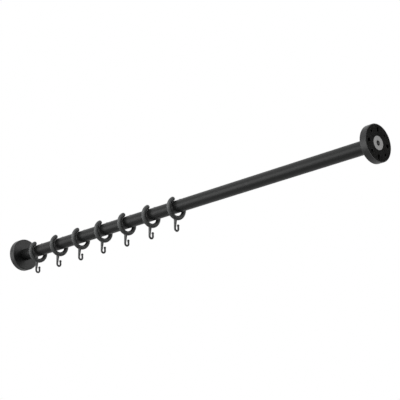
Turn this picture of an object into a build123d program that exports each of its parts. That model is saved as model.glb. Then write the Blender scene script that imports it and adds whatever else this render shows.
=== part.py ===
from build123d import *
import os
from math import asin, cos, degrees, radians, sin, sqrt

# Wall-to-wall curtain rod with sliding flange covers and hooked rings.
# X runs along the rod, from the left wall (x = 0) to the right wall. Z is up.
# The origin is the centre of the left wall plate, on the wall. Millimetres.

# Rod
WALL_TO_WALL = 1000.0
TUBE_DIAMETER = 25.0
TUBE_WALL = 1.5

# Steel plug in each end of the tube
PLUG_HEAD_THICKNESS = 2.0
PLUG_BODY_LENGTH = 22.0
PLUG_NOSE_CHAMFER = 1.0
PLUG_FLOOR = 3.5
PLUG_THREAD_CORE_DIAMETER = 8.5
PLUG_MOUTH_CHAMFER = 0.6

# Flange cover
COVER_DIAMETER = 68.0
COVER_DEPTH = 13.5
COVER_WALL = 1.5
COVER_EDGE_RADIUS = 2.0
COVER_INSIDE_RADIUS = 0.5
COVER_LIP_CHAMFER = 0.3

# Wall plate under the cover
PLATE_TO_COVER_GAP = 0.5
PLATE_EDGE_CHAMFER = 0.6
HOLE_EDGE_DISTANCE = 7.7
ROUND_HOLE_DIAMETER = 7.0
SLOT_WIDTH = 4.5
SLOT_LENGTH = 9.5
CORNER_HOLE_DIAMETER = 4.5
COUNTERSINK_DIAMETER = 8.5

# Set screw that locks the tube in the wall plate
SET_SCREW_DIAMETER = 4.0
SET_SCREW_LENGTH = 6.0
SET_SCREW_KEY = 2.0
SET_SCREW_KEY_DEPTH = 2.2
SET_SCREW_ANGLE = -67.5

# Rings, open at the top so that they can pass a hanger
RING_COUNT = 7
RING_PITCH = 73.8
FIRST_RING_X = 57.5
RING_SLACK = 5.0
RING_SECTION_DIAMETER = 9.0
RING_OPENING = 11.0

# Hook moulded under each ring, in the plane of the ring
HOOK_DROP = 23.6
HOOK_SHANK_TOP_DIAMETER = 7.0
HOOK_SHANK_END_DIAMETER = 4.2
HOOK_NECK_DIAMETER = 4.0
HOOK_BEND_RADIUS = 4.5
HOOK_BEND_OFFSET = 1.0
HOOK_KNOB_DIAMETER = 5.2
HOOK_KNOB_RISE = 6.6
HOOK_KNOB_FILLET = 1.0
HOOK_ROOT_FILLET = 1.4

# Clearances, all radial
RUNNING_GAP = 0.3
PRESS_GAP = 0.02
SOCKET_GAP = 0.05
SCREW_GAP = 0.05

# Worked out from the values above
TUBE_RADIUS = TUBE_DIAMETER / 2
TUBE_INSIDE_RADIUS = TUBE_RADIUS - TUBE_WALL
SOCKET_RADIUS = TUBE_RADIUS + SOCKET_GAP
COVER_RADIUS = COVER_DIAMETER / 2
COVER_INSIDE = COVER_RADIUS - COVER_WALL
COVER_BORE_RADIUS = TUBE_RADIUS + RUNNING_GAP
PLATE_RADIUS = COVER_INSIDE - RUNNING_GAP
PLATE_THICKNESS = COVER_DEPTH - COVER_WALL - PLATE_TO_COVER_GAP
HOLE_CIRCLE_RADIUS = PLATE_RADIUS - HOLE_EDGE_DISTANCE
RING_INSIDE_RADIUS = (TUBE_DIAMETER + RING_SLACK) / 2
RING_SECTION_RADIUS = RING_SECTION_DIAMETER / 2
RING_MEAN_RADIUS = RING_INSIDE_RADIUS + RING_SECTION_RADIUS
RING_END_Y = RING_OPENING / 2 + RING_SECTION_RADIUS
RING_END_ANGLE = degrees(asin(RING_END_Y / RING_MEAN_RADIUS))
RING_END_RISE = sqrt(RING_MEAN_RADIUS**2 - RING_END_Y**2)
RING_END_Z = sqrt((TUBE_RADIUS + RUNNING_GAP + RING_SECTION_RADIUS) ** 2 - RING_END_Y**2)
RING_CENTRE_Z = RING_END_Z - RING_END_RISE
RING_BOTTOM_Z = RING_CENTRE_Z - RING_MEAN_RADIUS - RING_SECTION_RADIUS


def along_rod(radius, x_from, x_to, y=0.0, z=0.0):
    """Round bar parallel to the rod."""
    return extrude(Plane.YZ * Pos(y, z, x_from) * Circle(radius), x_to - x_from)


def at_right_wall(piece):
    """The same piece turned round and set against the right wall."""
    return Pos(WALL_TO_WALL, 0, 0) * Rot(0, 0, 180) * piece


def tube():
    """Round steel tube, open at both ends."""
    x_from = PLUG_HEAD_THICKNESS
    x_to = WALL_TO_WALL - PLUG_HEAD_THICKNESS
    return along_rod(TUBE_RADIUS, x_from, x_to) - along_rod(TUBE_INSIDE_RADIUS, x_from, x_to)


def end_plug():
    """Turned plug: a head that caps the tube, a pressed body and a tapped blind hole."""
    core = PLUG_THREAD_CORE_DIAMETER / 2
    body = TUBE_INSIDE_RADIUS - PRESS_GAP
    nose = PLUG_HEAD_THICKNESS + PLUG_BODY_LENGTH
    drill_tip = nose - PLUG_FLOOR
    profile = Polyline(
        (0, core + PLUG_MOUTH_CHAMFER),
        (0, TUBE_RADIUS),
        (PLUG_HEAD_THICKNESS, TUBE_RADIUS),
        (PLUG_HEAD_THICKNESS, body),
        (nose - PLUG_NOSE_CHAMFER, body),
        (nose, body - PLUG_NOSE_CHAMFER),
        (nose, 0),
        (drill_tip, 0),
        (drill_tip - core / sqrt(3), core),
        (PLUG_MOUTH_CHAMFER, core),
        close=True,
    )
    return revolve(make_face(profile), Axis.X)


def set_screw_plane(from_axis):
    """Plane across the set screw, at a distance from the rod's axis."""
    y = cos(radians(SET_SCREW_ANGLE))
    z = sin(radians(SET_SCREW_ANGLE))
    place = (PLATE_THICKNESS / 2, from_axis * y, from_axis * z)
    return Plane(origin=place, x_dir=(1, 0, 0), z_dir=(0, y, z))


def countersink(y, z):
    """Conical seat for a screw head, on the room side of the wall plate."""
    mouth = COUNTERSINK_DIAMETER / 2
    throat = CORNER_HOLE_DIAMETER / 2
    cone = Cone(mouth, throat, mouth - throat, align=(Align.CENTER, Align.CENTER, Align.MIN))
    return Pos(PLATE_THICKNESS, y, z) * Rot(0, -90, 0) * cone


def wall_plate():
    """Moulded disc with a socket for the tube, fixing holes and a tapped hole for the set screw."""
    plate = along_rod(PLATE_RADIUS, 0, PLATE_THICKNESS)
    plate = chamfer(plate.edges().filter_by(GeomType.CIRCLE), PLATE_EDGE_CHAMFER)
    plate -= along_rod(SOCKET_RADIUS, 0, PLATE_THICKNESS)
    for side in (-1, 1):
        place = side * HOLE_CIRCLE_RADIUS
        plate -= along_rod(ROUND_HOLE_DIAMETER / 2, 0, PLATE_THICKNESS, y=place)
        slot = Plane.YZ * Pos(0, place) * Rot(0, 0, 90) * SlotOverall(SLOT_LENGTH, SLOT_WIDTH)
        plate -= extrude(slot, PLATE_THICKNESS)
    for angle in (45, 135, 225, 315):
        y = HOLE_CIRCLE_RADIUS * cos(radians(angle))
        z = HOLE_CIRCLE_RADIUS * sin(radians(angle))
        plate -= along_rod(CORNER_HOLE_DIAMETER / 2, 0, PLATE_THICKNESS, y, z)
        plate -= countersink(y, z)
    screw_hole = set_screw_plane(0) * Circle(SET_SCREW_DIAMETER / 2)
    return plate - extrude(screw_hole, COVER_RADIUS)


def set_screw():
    """Headless screw with a hexagon key socket in its outer end."""
    inner_end = TUBE_RADIUS + SCREW_GAP
    outer_end = inner_end + SET_SCREW_LENGTH
    shank = Circle(SET_SCREW_DIAMETER / 2 - SCREW_GAP)
    screw = extrude(set_screw_plane(inner_end) * shank, SET_SCREW_LENGTH)
    key = RegularPolygon(SET_SCREW_KEY / 2, 6, major_radius=False)
    return screw - extrude(set_screw_plane(outer_end) * key, -SET_SCREW_KEY_DEPTH)


def corner_of(section, x, radius):
    """The corner of a turned section that lies nearest to a point."""
    return section.vertices().sort_by_distance((x, radius))[0]


def flange_cover():
    """Pressed cup that slides on the tube and hides the wall plate."""
    inside = COVER_DEPTH - COVER_WALL
    profile = Polyline(
        (0, COVER_INSIDE),
        (0, COVER_RADIUS),
        (COVER_DEPTH, COVER_RADIUS),
        (COVER_DEPTH, COVER_BORE_RADIUS),
        (inside, COVER_BORE_RADIUS),
        (inside, COVER_INSIDE),
        close=True,
    )
    section = make_face(profile)
    section = fillet(corner_of(section, COVER_DEPTH, COVER_RADIUS), COVER_EDGE_RADIUS)
    section = fillet(corner_of(section, inside, COVER_INSIDE), COVER_INSIDE_RADIUS)
    section = chamfer(corner_of(section, 0, COVER_RADIUS), COVER_LIP_CHAMFER)
    return revolve(section, Axis.X)


def hook():
    """J-shaped hook with a tapering shank and a knob that keeps the curtain on it."""
    shank_top = HOOK_SHANK_TOP_DIAMETER / 2
    shank_end = HOOK_SHANK_END_DIAMETER / 2
    neck = HOOK_NECK_DIAMETER / 2
    knob = HOOK_KNOB_DIAMETER / 2
    root_z = RING_CENTRE_Z - RING_MEAN_RADIUS
    bend_z = RING_BOTTOM_Z - HOOK_DROP + shank_end + HOOK_BEND_RADIUS
    shank_y = HOOK_BEND_OFFSET - HOOK_BEND_RADIUS
    neck_y = HOOK_BEND_OFFSET + HOOK_BEND_RADIUS
    bend = ThreePointArc(
        (0, shank_y, bend_z),
        (0, HOOK_BEND_OFFSET, bend_z - HOOK_BEND_RADIUS),
        (0, neck_y, bend_z),
    )
    shank_end_face = Pos(0, shank_y, bend_z) * Circle(shank_end)
    neck_face = Pos(0, neck_y, bend_z) * Circle(neck)
    knob_place = Pos(0, neck_y + neck - knob, bend_z + HOOK_KNOB_RISE)
    shank = loft([Pos(0, shank_y + shank_top - shank_end, root_z) * Circle(shank_top), shank_end_face])
    curl = sweep([shank_end_face, neck_face], path=bend, multisection=True)
    tip = loft([neck_face, knob_place * Circle(neck)]) + knob_place * Rot(0, 0, 180) * Sphere(knob)
    throat = tip.edges().filter_by(GeomType.BSPLINE).sort_by(Axis.Z)[-2:]
    return shank + curl + fillet(throat, HOOK_KNOB_FILLET)


def ring_end(side):
    """Half ball that rounds off one end of the open ring; side is -1 in front and 1 behind."""
    along = radians(RING_END_ANGLE)
    place = Plane(
        origin=(0, side * RING_END_Y, RING_END_Z),
        x_dir=(1, 0, 0),
        z_dir=(0, -side * cos(along), sin(along)),
    )
    upwards = (Align.CENTER, Align.CENTER, Align.MIN)
    return place * Sphere(RING_SECTION_RADIUS, arc_size1=0, align=upwards)


def curtain_ring():
    """Moulded open ring, hanging on the tube by its two round ends, with its hook."""
    section = Pos(0, RING_MEAN_RADIUS) * Circle(RING_SECTION_RADIUS)
    loop = revolve(section, Axis.X, 360 - 2 * RING_END_ANGLE)
    loop = Pos(0, 0, RING_CENTRE_Z) * Rot(90 + RING_END_ANGLE, 0, 0) * loop
    ring = loop + ring_end(-1) + ring_end(1) + hook()
    seam = ring.edges().filter_by(GeomType.BSPLINE).sort_by_distance((0, 0, RING_BOTTOM_Z))[0]
    return fillet(seam, HOOK_ROOT_FILLET)


os.makedirs("parts", exist_ok=True)
pieces = {"tube": tube()}
for name, piece in (
    ("end_plug", end_plug()),
    ("wall_plate", wall_plate()),
    ("set_screw", set_screw()),
    ("flange_cover", flange_cover()),
):
    pieces[name + "_left"] = piece
    pieces[name + "_right"] = at_right_wall(piece)
hooked_ring = curtain_ring()
for number in range(RING_COUNT):
    place = Pos(FIRST_RING_X + number * RING_PITCH, 0, 0)
    pieces["curtain_ring_" + str(number + 1)] = place * hooked_ring
for name, piece in pieces.items():
    export_step(piece, "parts/" + name + ".step")
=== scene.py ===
import bpy
from math import cos, pi, radians, sin
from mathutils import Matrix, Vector

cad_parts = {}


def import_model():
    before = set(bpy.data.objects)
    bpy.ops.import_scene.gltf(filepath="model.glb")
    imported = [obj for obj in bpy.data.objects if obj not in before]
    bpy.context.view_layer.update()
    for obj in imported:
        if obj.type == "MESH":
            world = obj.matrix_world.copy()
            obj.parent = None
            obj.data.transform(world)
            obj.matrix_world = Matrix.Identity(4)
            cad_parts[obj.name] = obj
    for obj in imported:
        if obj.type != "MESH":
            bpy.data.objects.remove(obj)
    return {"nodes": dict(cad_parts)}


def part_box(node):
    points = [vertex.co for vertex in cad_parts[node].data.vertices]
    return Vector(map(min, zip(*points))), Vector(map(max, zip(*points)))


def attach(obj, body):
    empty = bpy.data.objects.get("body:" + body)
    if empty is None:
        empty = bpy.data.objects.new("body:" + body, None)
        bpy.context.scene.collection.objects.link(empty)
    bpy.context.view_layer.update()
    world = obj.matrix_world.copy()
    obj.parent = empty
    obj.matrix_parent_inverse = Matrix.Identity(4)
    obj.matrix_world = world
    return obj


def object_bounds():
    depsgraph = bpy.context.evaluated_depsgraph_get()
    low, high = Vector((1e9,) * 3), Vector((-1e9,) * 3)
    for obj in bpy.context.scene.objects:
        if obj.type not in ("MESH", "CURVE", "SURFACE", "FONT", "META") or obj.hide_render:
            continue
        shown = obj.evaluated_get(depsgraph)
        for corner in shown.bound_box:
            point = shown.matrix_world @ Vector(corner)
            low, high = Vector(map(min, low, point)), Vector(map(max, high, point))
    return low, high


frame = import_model()
cad_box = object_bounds()

# Camera, fitted to the rod, both flanges and the rings in the photograph
IMAGE_SIZE = 400
SENSOR_MM = 36.0
FOCAL_PIXELS = 1313.4
CAMERA_PLACE = Vector((2.2923, -1.6469, -0.7566))
CAMERA_AZIMUTH = 46.339
CAMERA_RISE = 17.574

# Studio, in metres; the rod hangs two metres above the floor
FLOOR_Z = -2.0
FLOOR_SIZE = 60.0
VIEW_LIMIT = 200.0
WHITE = (1.0, 1.0, 1.0)
WORLD_GREY = (0.06, 0.06, 0.06)

# Thread in the end plugs: lengths in metres, then the turns and the steps of a turn
THREAD_CORE_RADIUS = 0.00425
THREAD_PITCH = 0.0015
THREAD_HEIGHT = 0.0004
THREAD_START = 0.0012
THREAD_SINK = 0.00005
THREAD_TURNS = 10
THREAD_STEPS = 36

# Faces that meet at more than this, in degrees, keep a sharp edge
SHARP_ANGLE = 28

# Rubbed edges: how far they reach, in metres, and how patchy they are, in cycles a metre
EDGE_REACH = 0.0006
EDGE_PATCHES = 260.0

SIDES = ("left", "right")
RINGS = sorted(name for name in frame["nodes"] if name.startswith("curtain_ring_"))


# Node helpers

def new_material(name):
    """An empty node material with a principled shader: its tree and the shader."""
    material = bpy.data.materials.new(name)
    material.use_nodes = True
    tree = material.node_tree
    return material, tree, tree.nodes["Principled BSDF"]


def add(tree, kind, **values):
    """A new node; values set its properties or, by name, its inputs."""
    node = tree.nodes.new(kind)
    for key, value in values.items():
        if hasattr(node, key):
            setattr(node, key, value)
        else:
            node.inputs[key.replace("_", " ")].default_value = value
    return node


def noise(tree, coordinates, scale, detail=3.0, roughness=0.5):
    """Noise over the object's own coordinates, in cycles a metre."""
    node = add(tree, "ShaderNodeTexNoise", Scale=scale, Detail=detail, Roughness=roughness)
    tree.links.new(coordinates, node.inputs["Vector"])
    return node.outputs["Fac"]


def ramp(tree, factor, low, high):
    """Spreads a factor between two numbers."""
    node = add(tree, "ShaderNodeMapRange")
    node.inputs["From Min"].default_value = 0.3
    node.inputs["From Max"].default_value = 0.7
    node.inputs["To Min"].default_value = low
    node.inputs["To Max"].default_value = high
    tree.links.new(factor, node.inputs["Value"])
    return node.outputs["Result"]


def blend_colours(tree, factor, first, second):
    """Mixes two colours, or a colour and a colour socket."""
    node = add(tree, "ShaderNodeMix", data_type="RGBA")
    tree.links.new(factor, node.inputs[0])
    colours = [socket for socket in node.inputs if socket.type == "RGBA"]
    for socket, colour in zip(colours, (first, second)):
        if isinstance(colour, bpy.types.NodeSocket):
            tree.links.new(colour, socket)
        else:
            socket.default_value = (*colour, 1.0)
    return next(socket for socket in node.outputs if socket.type == "RGBA")


def bump(tree, shader, height, depth, strength):
    """Relief on the shader's normal; depth in metres."""
    node = add(tree, "ShaderNodeBump", Strength=strength, Distance=depth)
    tree.links.new(height, node.inputs["Height"])
    tree.links.new(node.outputs["Normal"], shader.inputs["Normal"])


def edge_mask(tree, reach):
    """One along sharp edges, nought on the faces; reach in metres."""
    bevel = add(tree, "ShaderNodeBevel", samples=6, Radius=reach)
    geometry = add(tree, "ShaderNodeNewGeometry")
    dot = add(tree, "ShaderNodeVectorMath", operation="DOT_PRODUCT")
    tree.links.new(bevel.outputs["Normal"], dot.inputs[0])
    tree.links.new(geometry.outputs["Normal"], dot.inputs[1])
    mask = add(tree, "ShaderNodeMapRange")
    mask.inputs["From Min"].default_value = 0.99
    mask.inputs["From Max"].default_value = 0.75
    tree.links.new(dot.outputs["Value"], mask.inputs["Value"])
    return mask.outputs["Result"]


# Materials

def coated_or_moulded(name, colours, rough, specular, grain, relief, worn):
    """Dark coat or plastic: drifting shade, grain with relief, and rubbed edges."""
    material, tree, shader = new_material(name)
    place = add(tree, "ShaderNodeTexCoord").outputs["Object"]
    drift = noise(tree, place, 35.0)
    fine = noise(tree, place, grain, detail=2.0)
    body = blend_colours(tree, drift, *colours)
    edges = edge_mask(tree, EDGE_REACH)
    patchy = add(tree, "ShaderNodeMath", operation="MULTIPLY")
    tree.links.new(edges, patchy.inputs[0])
    tree.links.new(noise(tree, place, EDGE_PATCHES), patchy.inputs[1])
    tree.links.new(blend_colours(tree, patchy.outputs["Value"], body, worn), shader.inputs["Base Color"])
    tree.links.new(ramp(tree, noise(tree, place, 90.0), *rough), shader.inputs["Roughness"])
    shader.inputs["Specular IOR Level"].default_value = specular
    bump(tree, shader, fine, relief, 0.35)
    return material


def turned_steel():
    """Bare steel with the concentric marks of the lathe, round the rod's axis."""
    material, tree, shader = new_material("turned_steel")
    place = add(tree, "ShaderNodeTexCoord").outputs["Object"]
    split = add(tree, "ShaderNodeSeparateXYZ")
    tree.links.new(place, split.inputs["Vector"])
    across = add(tree, "ShaderNodeCombineXYZ")
    tree.links.new(split.outputs["Y"], across.inputs["Y"])
    tree.links.new(split.outputs["Z"], across.inputs["Z"])
    radius = add(tree, "ShaderNodeVectorMath", operation="LENGTH")
    tree.links.new(across.outputs["Vector"], radius.inputs[0])
    rings = add(tree, "ShaderNodeCombineXYZ")
    tree.links.new(radius.outputs["Value"], rings.inputs["X"])
    marks = noise(tree, rings.outputs["Vector"], 4200.0, detail=2.0)
    stain = noise(tree, place, 180.0, detail=4.0)
    tree.links.new(
        blend_colours(tree, stain, (0.17, 0.17, 0.167), (0.215, 0.215, 0.212)), shader.inputs["Base Color"]
    )
    tree.links.new(ramp(tree, marks, 0.36, 0.5), shader.inputs["Roughness"])
    shader.inputs["Metallic"].default_value = 1.0
    bump(tree, shader, marks, 0.00003, 0.5)
    return material


def dress(names, material):
    """Gives CAD nodes a material and smooth shading across their curved faces."""
    for name in names:
        mesh = frame["nodes"][name].data
        mesh.materials.clear()
        mesh.materials.append(material)
        mesh.polygons.foreach_set("use_smooth", [True] * len(mesh.polygons))
        mesh.set_sharp_from_angle(angle=radians(SHARP_ANGLE))


# Threads

def thread(side, material):
    """Raised helix in the plug's tapped hole, which opens on the wall."""
    low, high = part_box("end_plug_" + side)
    mouth, inward = (low.x, 1.0) if side == "left" else (high.x, -1.0)
    count = THREAD_TURNS * THREAD_STEPS
    points, faces = [], []
    profile = ((-0.42, 0.0), (-0.1, 1.0), (0.1, 1.0), (0.42, 0.0))
    for step in range(count + 1):
        angle = 2 * pi * step / THREAD_STEPS
        ends = min(1.0, step / THREAD_STEPS, (count - step) / THREAD_STEPS)
        along = THREAD_START + THREAD_PITCH * step / THREAD_STEPS
        for offset, rise in profile:
            radius = THREAD_CORE_RADIUS + THREAD_SINK - THREAD_HEIGHT * rise * ends
            x = mouth + inward * (along + offset * THREAD_PITCH)
            points.append((x, radius * cos(angle), radius * sin(angle)))
    size = len(profile)
    for step in range(count):
        for k in range(size - 1):
            a = step * size + k
            faces.append((a, a + 1, a + 1 + size, a + size))
    mesh = bpy.data.meshes.new("plug_thread_" + side)
    mesh.from_pydata(points, [], faces)
    mesh.materials.append(material)
    mesh.polygons.foreach_set("use_smooth", [True] * len(mesh.polygons))
    piece = bpy.data.objects.new("plug_thread_" + side, mesh)
    bpy.context.scene.collection.objects.link(piece)
    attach(piece, "rod")


# Studio

def camera():
    """Camera at the photograph's viewing angle."""
    data = bpy.data.cameras.new("camera")
    data.sensor_width = SENSOR_MM
    data.lens = FOCAL_PIXELS * SENSOR_MM / IMAGE_SIZE
    data.clip_end = VIEW_LIMIT
    eye = bpy.data.objects.new("camera", data)
    azimuth, rise = radians(CAMERA_AZIMUTH), radians(CAMERA_RISE)
    look = Vector((-sin(azimuth) * cos(rise), cos(azimuth) * cos(rise), sin(rise)))
    eye.location = CAMERA_PLACE
    eye.rotation_euler = look.to_track_quat("-Z", "Y").to_euler()
    bpy.context.scene.collection.objects.link(eye)
    bpy.context.scene.camera = eye


def softbox(name, direction, distance, size, strength, spread):
    """Soft lamp that faces the rod's middle; a narrow spread keeps its light off the floor."""
    width, height = size
    middle = (cad_box[0] + cad_box[1]) / 2
    data = bpy.data.lights.new(name, "AREA")
    data.shape = "RECTANGLE"
    data.size = width
    data.size_y = height
    data.energy = strength * pi * width * height
    data.spread = radians(spread)
    lamp = bpy.data.objects.new(name, data)
    towards = Vector(direction).normalized()
    lamp.location = middle + towards * distance
    lamp.rotation_euler = (-towards).to_track_quat("-Z", "Y").to_euler()
    lamp.visible_camera = False
    bpy.context.scene.collection.objects.link(lamp)


def seen_rays(tree):
    """One for rays from the camera, in reflections and through clear things, nought for light."""
    rays = add(tree, "ShaderNodeLightPath")
    total = rays.outputs["Is Camera Ray"]
    for kind in ("Is Glossy Ray", "Is Transmission Ray"):
        either = add(tree, "ShaderNodeMath", operation="MAXIMUM")
        tree.links.new(total, either.inputs[0])
        tree.links.new(rays.outputs[kind], either.inputs[1])
        total = either.outputs["Value"]
    return total


def world():
    """Dim grey surroundings, which the camera and reflections see as a white backdrop."""
    surroundings = bpy.data.worlds.new("studio")
    bpy.context.scene.world = surroundings
    surroundings.use_nodes = True
    tree = surroundings.node_tree
    colour = blend_colours(tree, seen_rays(tree), WORLD_GREY, WHITE)
    tree.links.new(colour, tree.nodes["Background"].inputs["Color"])


def floor():
    """Plain pale floor, which looks pale, also in reflections, where the lamps don't reach."""
    mesh = bpy.data.meshes.new("floor")
    half = FLOOR_SIZE / 2
    sides = ((-half, -half), (half, -half), (half, half), (-half, half))
    corners = [(x, y, FLOOR_Z) for x, y in sides]
    mesh.from_pydata(corners, [], [(0, 1, 2, 3)])
    material, tree, shader = new_material("floor_paint")
    place = add(tree, "ShaderNodeTexCoord").outputs["Object"]
    cloud = noise(tree, place, 0.8)
    shade = blend_colours(tree, cloud, (0.78, 0.78, 0.78), (0.82, 0.82, 0.82))
    tree.links.new(shade, shader.inputs["Base Color"])
    shader.inputs["Roughness"].default_value = 0.9
    glow = blend_colours(tree, cloud, (0.57, 0.57, 0.57), (0.59, 0.59, 0.59))
    tree.links.new(glow, shader.inputs["Emission Color"])
    tree.links.new(seen_rays(tree), shader.inputs["Emission Strength"])
    mesh.materials.append(material)
    ground = bpy.data.objects.new("floor", mesh)
    bpy.context.scene.collection.objects.link(ground)


bpy.context.scene.view_settings.view_transform = "Standard"

coat = coated_or_moulded(
    "powder_coat",
    colours=((0.0072, 0.0076, 0.0074), (0.0089, 0.0094, 0.0092)),
    rough=(0.34, 0.41), specular=0.2, grain=2600.0, relief=0.00004, worn=(0.05, 0.05, 0.05),
)
cover_coat = coated_or_moulded(
    "cover_coat",
    colours=((0.0068, 0.0071, 0.007), (0.0084, 0.0087, 0.0086)),
    rough=(0.32, 0.4), specular=0.36, grain=2600.0, relief=0.00004, worn=(0.05, 0.05, 0.05),
)
ring_plastic = coated_or_moulded(
    "ring_plastic",
    colours=((0.066, 0.068, 0.0675), (0.077, 0.08, 0.0794)),
    rough=(0.42, 0.5), specular=0.27, grain=1800.0, relief=0.00004, worn=(0.14, 0.143, 0.142),
)
plate_plastic = coated_or_moulded(
    "plate_plastic",
    colours=((0.0168, 0.0168, 0.0158), (0.0216, 0.0216, 0.0203)),
    rough=(0.6, 0.75), specular=0.055, grain=3200.0, relief=0.00008, worn=(0.02, 0.02, 0.02),
)
steel = turned_steel()

dress(["tube"], coat)
dress(["flange_cover_" + side for side in SIDES], cover_coat)
dress(RINGS, ring_plastic)
dress(["wall_plate_" + side for side in SIDES], plate_plastic)
dress([kind + side for kind in ("end_plug_", "set_screw_") for side in SIDES], steel)
for side in SIDES:
    thread(side, steel)

camera()
softbox("left_softbox", (-0.6, -0.79, -0.12), distance=4.0, size=(2.6, 2.8), strength=1.1, spread=110.0)
softbox("front_softbox", (0.06, -0.88, 0.47), distance=3.0, size=(1.7, 2.04), strength=1.4, spread=65.0)
softbox("right_softbox", (0.79, 0.57, 0.23), distance=5.0, size=(1.8, 1.8), strength=1.4, spread=180.0)
softbox("back_softbox", (-0.1, 0.86, 0.5), distance=4.0, size=(2.6, 2.0), strength=1.3, spread=110.0)
world()
floor()
